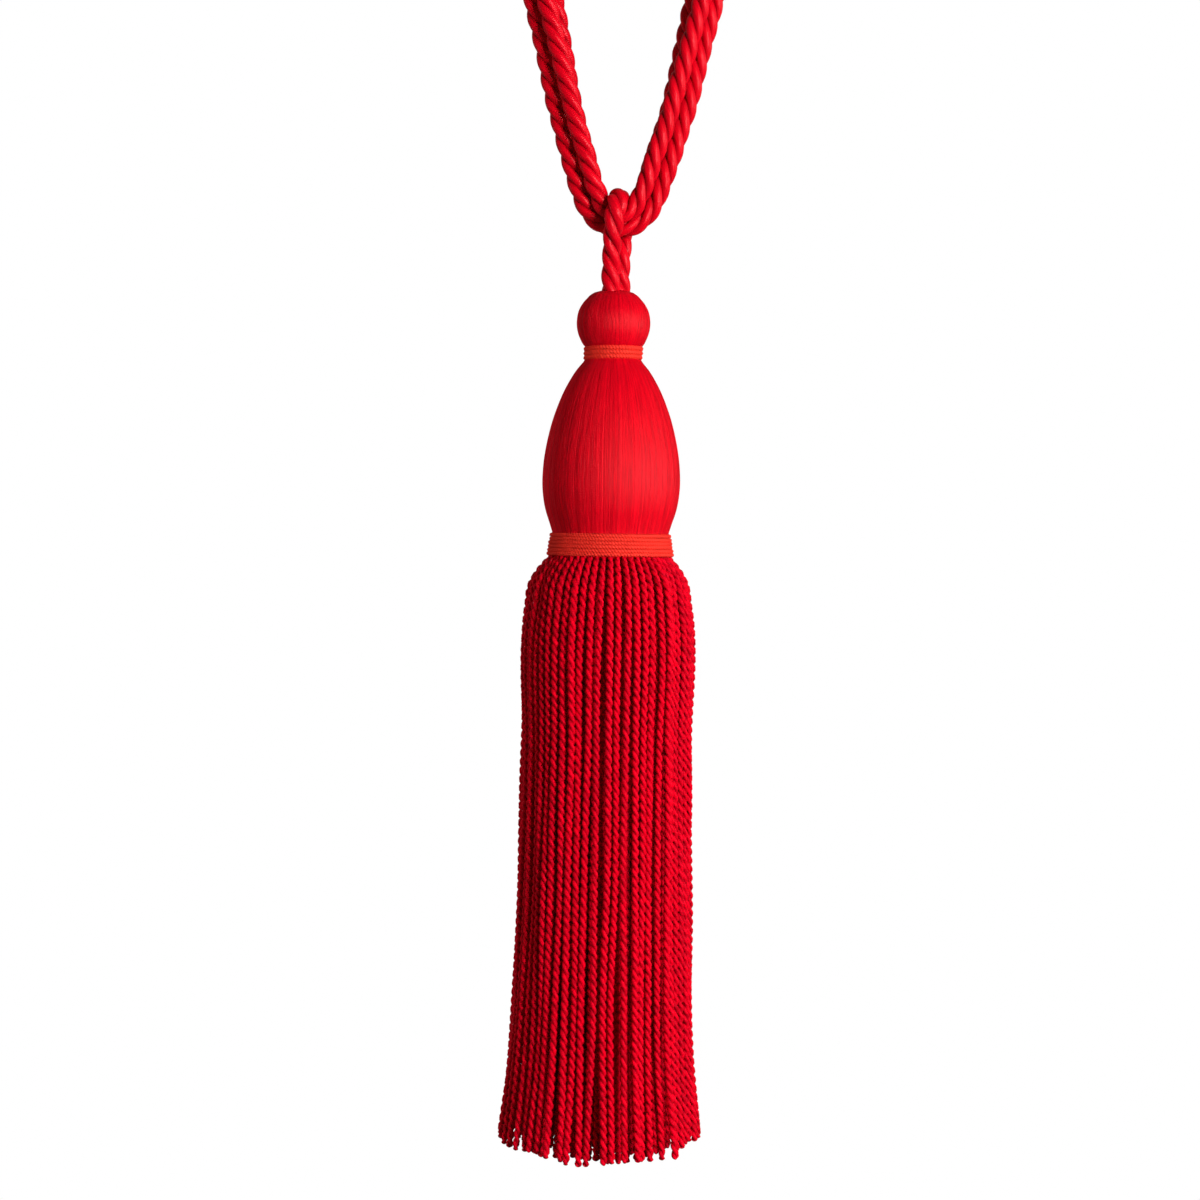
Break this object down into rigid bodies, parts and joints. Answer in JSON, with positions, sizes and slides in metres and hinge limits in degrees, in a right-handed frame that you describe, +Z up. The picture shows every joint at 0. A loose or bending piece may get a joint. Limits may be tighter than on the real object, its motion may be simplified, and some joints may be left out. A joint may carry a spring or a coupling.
{
  "type": "tassel tieback",
  "caption": "Curtain tieback: twisted rope loops that hold a long tassel with a yarn-covered head and a bullion fringe skirt.",
  "frame": {"origin": "the point where a wall hook carries the three ropes, inside the top arch of the middle one", "axes": "+Z up along the tassel's length, +X to the right as seen from the front, -Y to the front"},
  "size_m": [0.088, 0.0659, 0.5673],
  "materials": {
    "rope": "satin twisted viscose rope",
    "wound_yarn": "satin yarn wound from top to bottom",
    "band_cord": "dull thin twisted cord",
    "bullion_cord": "dull twisted two-ply cord"
  },
  "bodies": {
    "root": {"embrace_front": "rope", "embrace_middle": "rope", "embrace_back": "rope", "neck_loop": "rope", "ball": "wound_yarn", "upper_band": "band_cord", "egg": "wound_yarn", "lower_band": "band_cord", "skirt": "bullion_cord"}
  },
  "joints": []
}
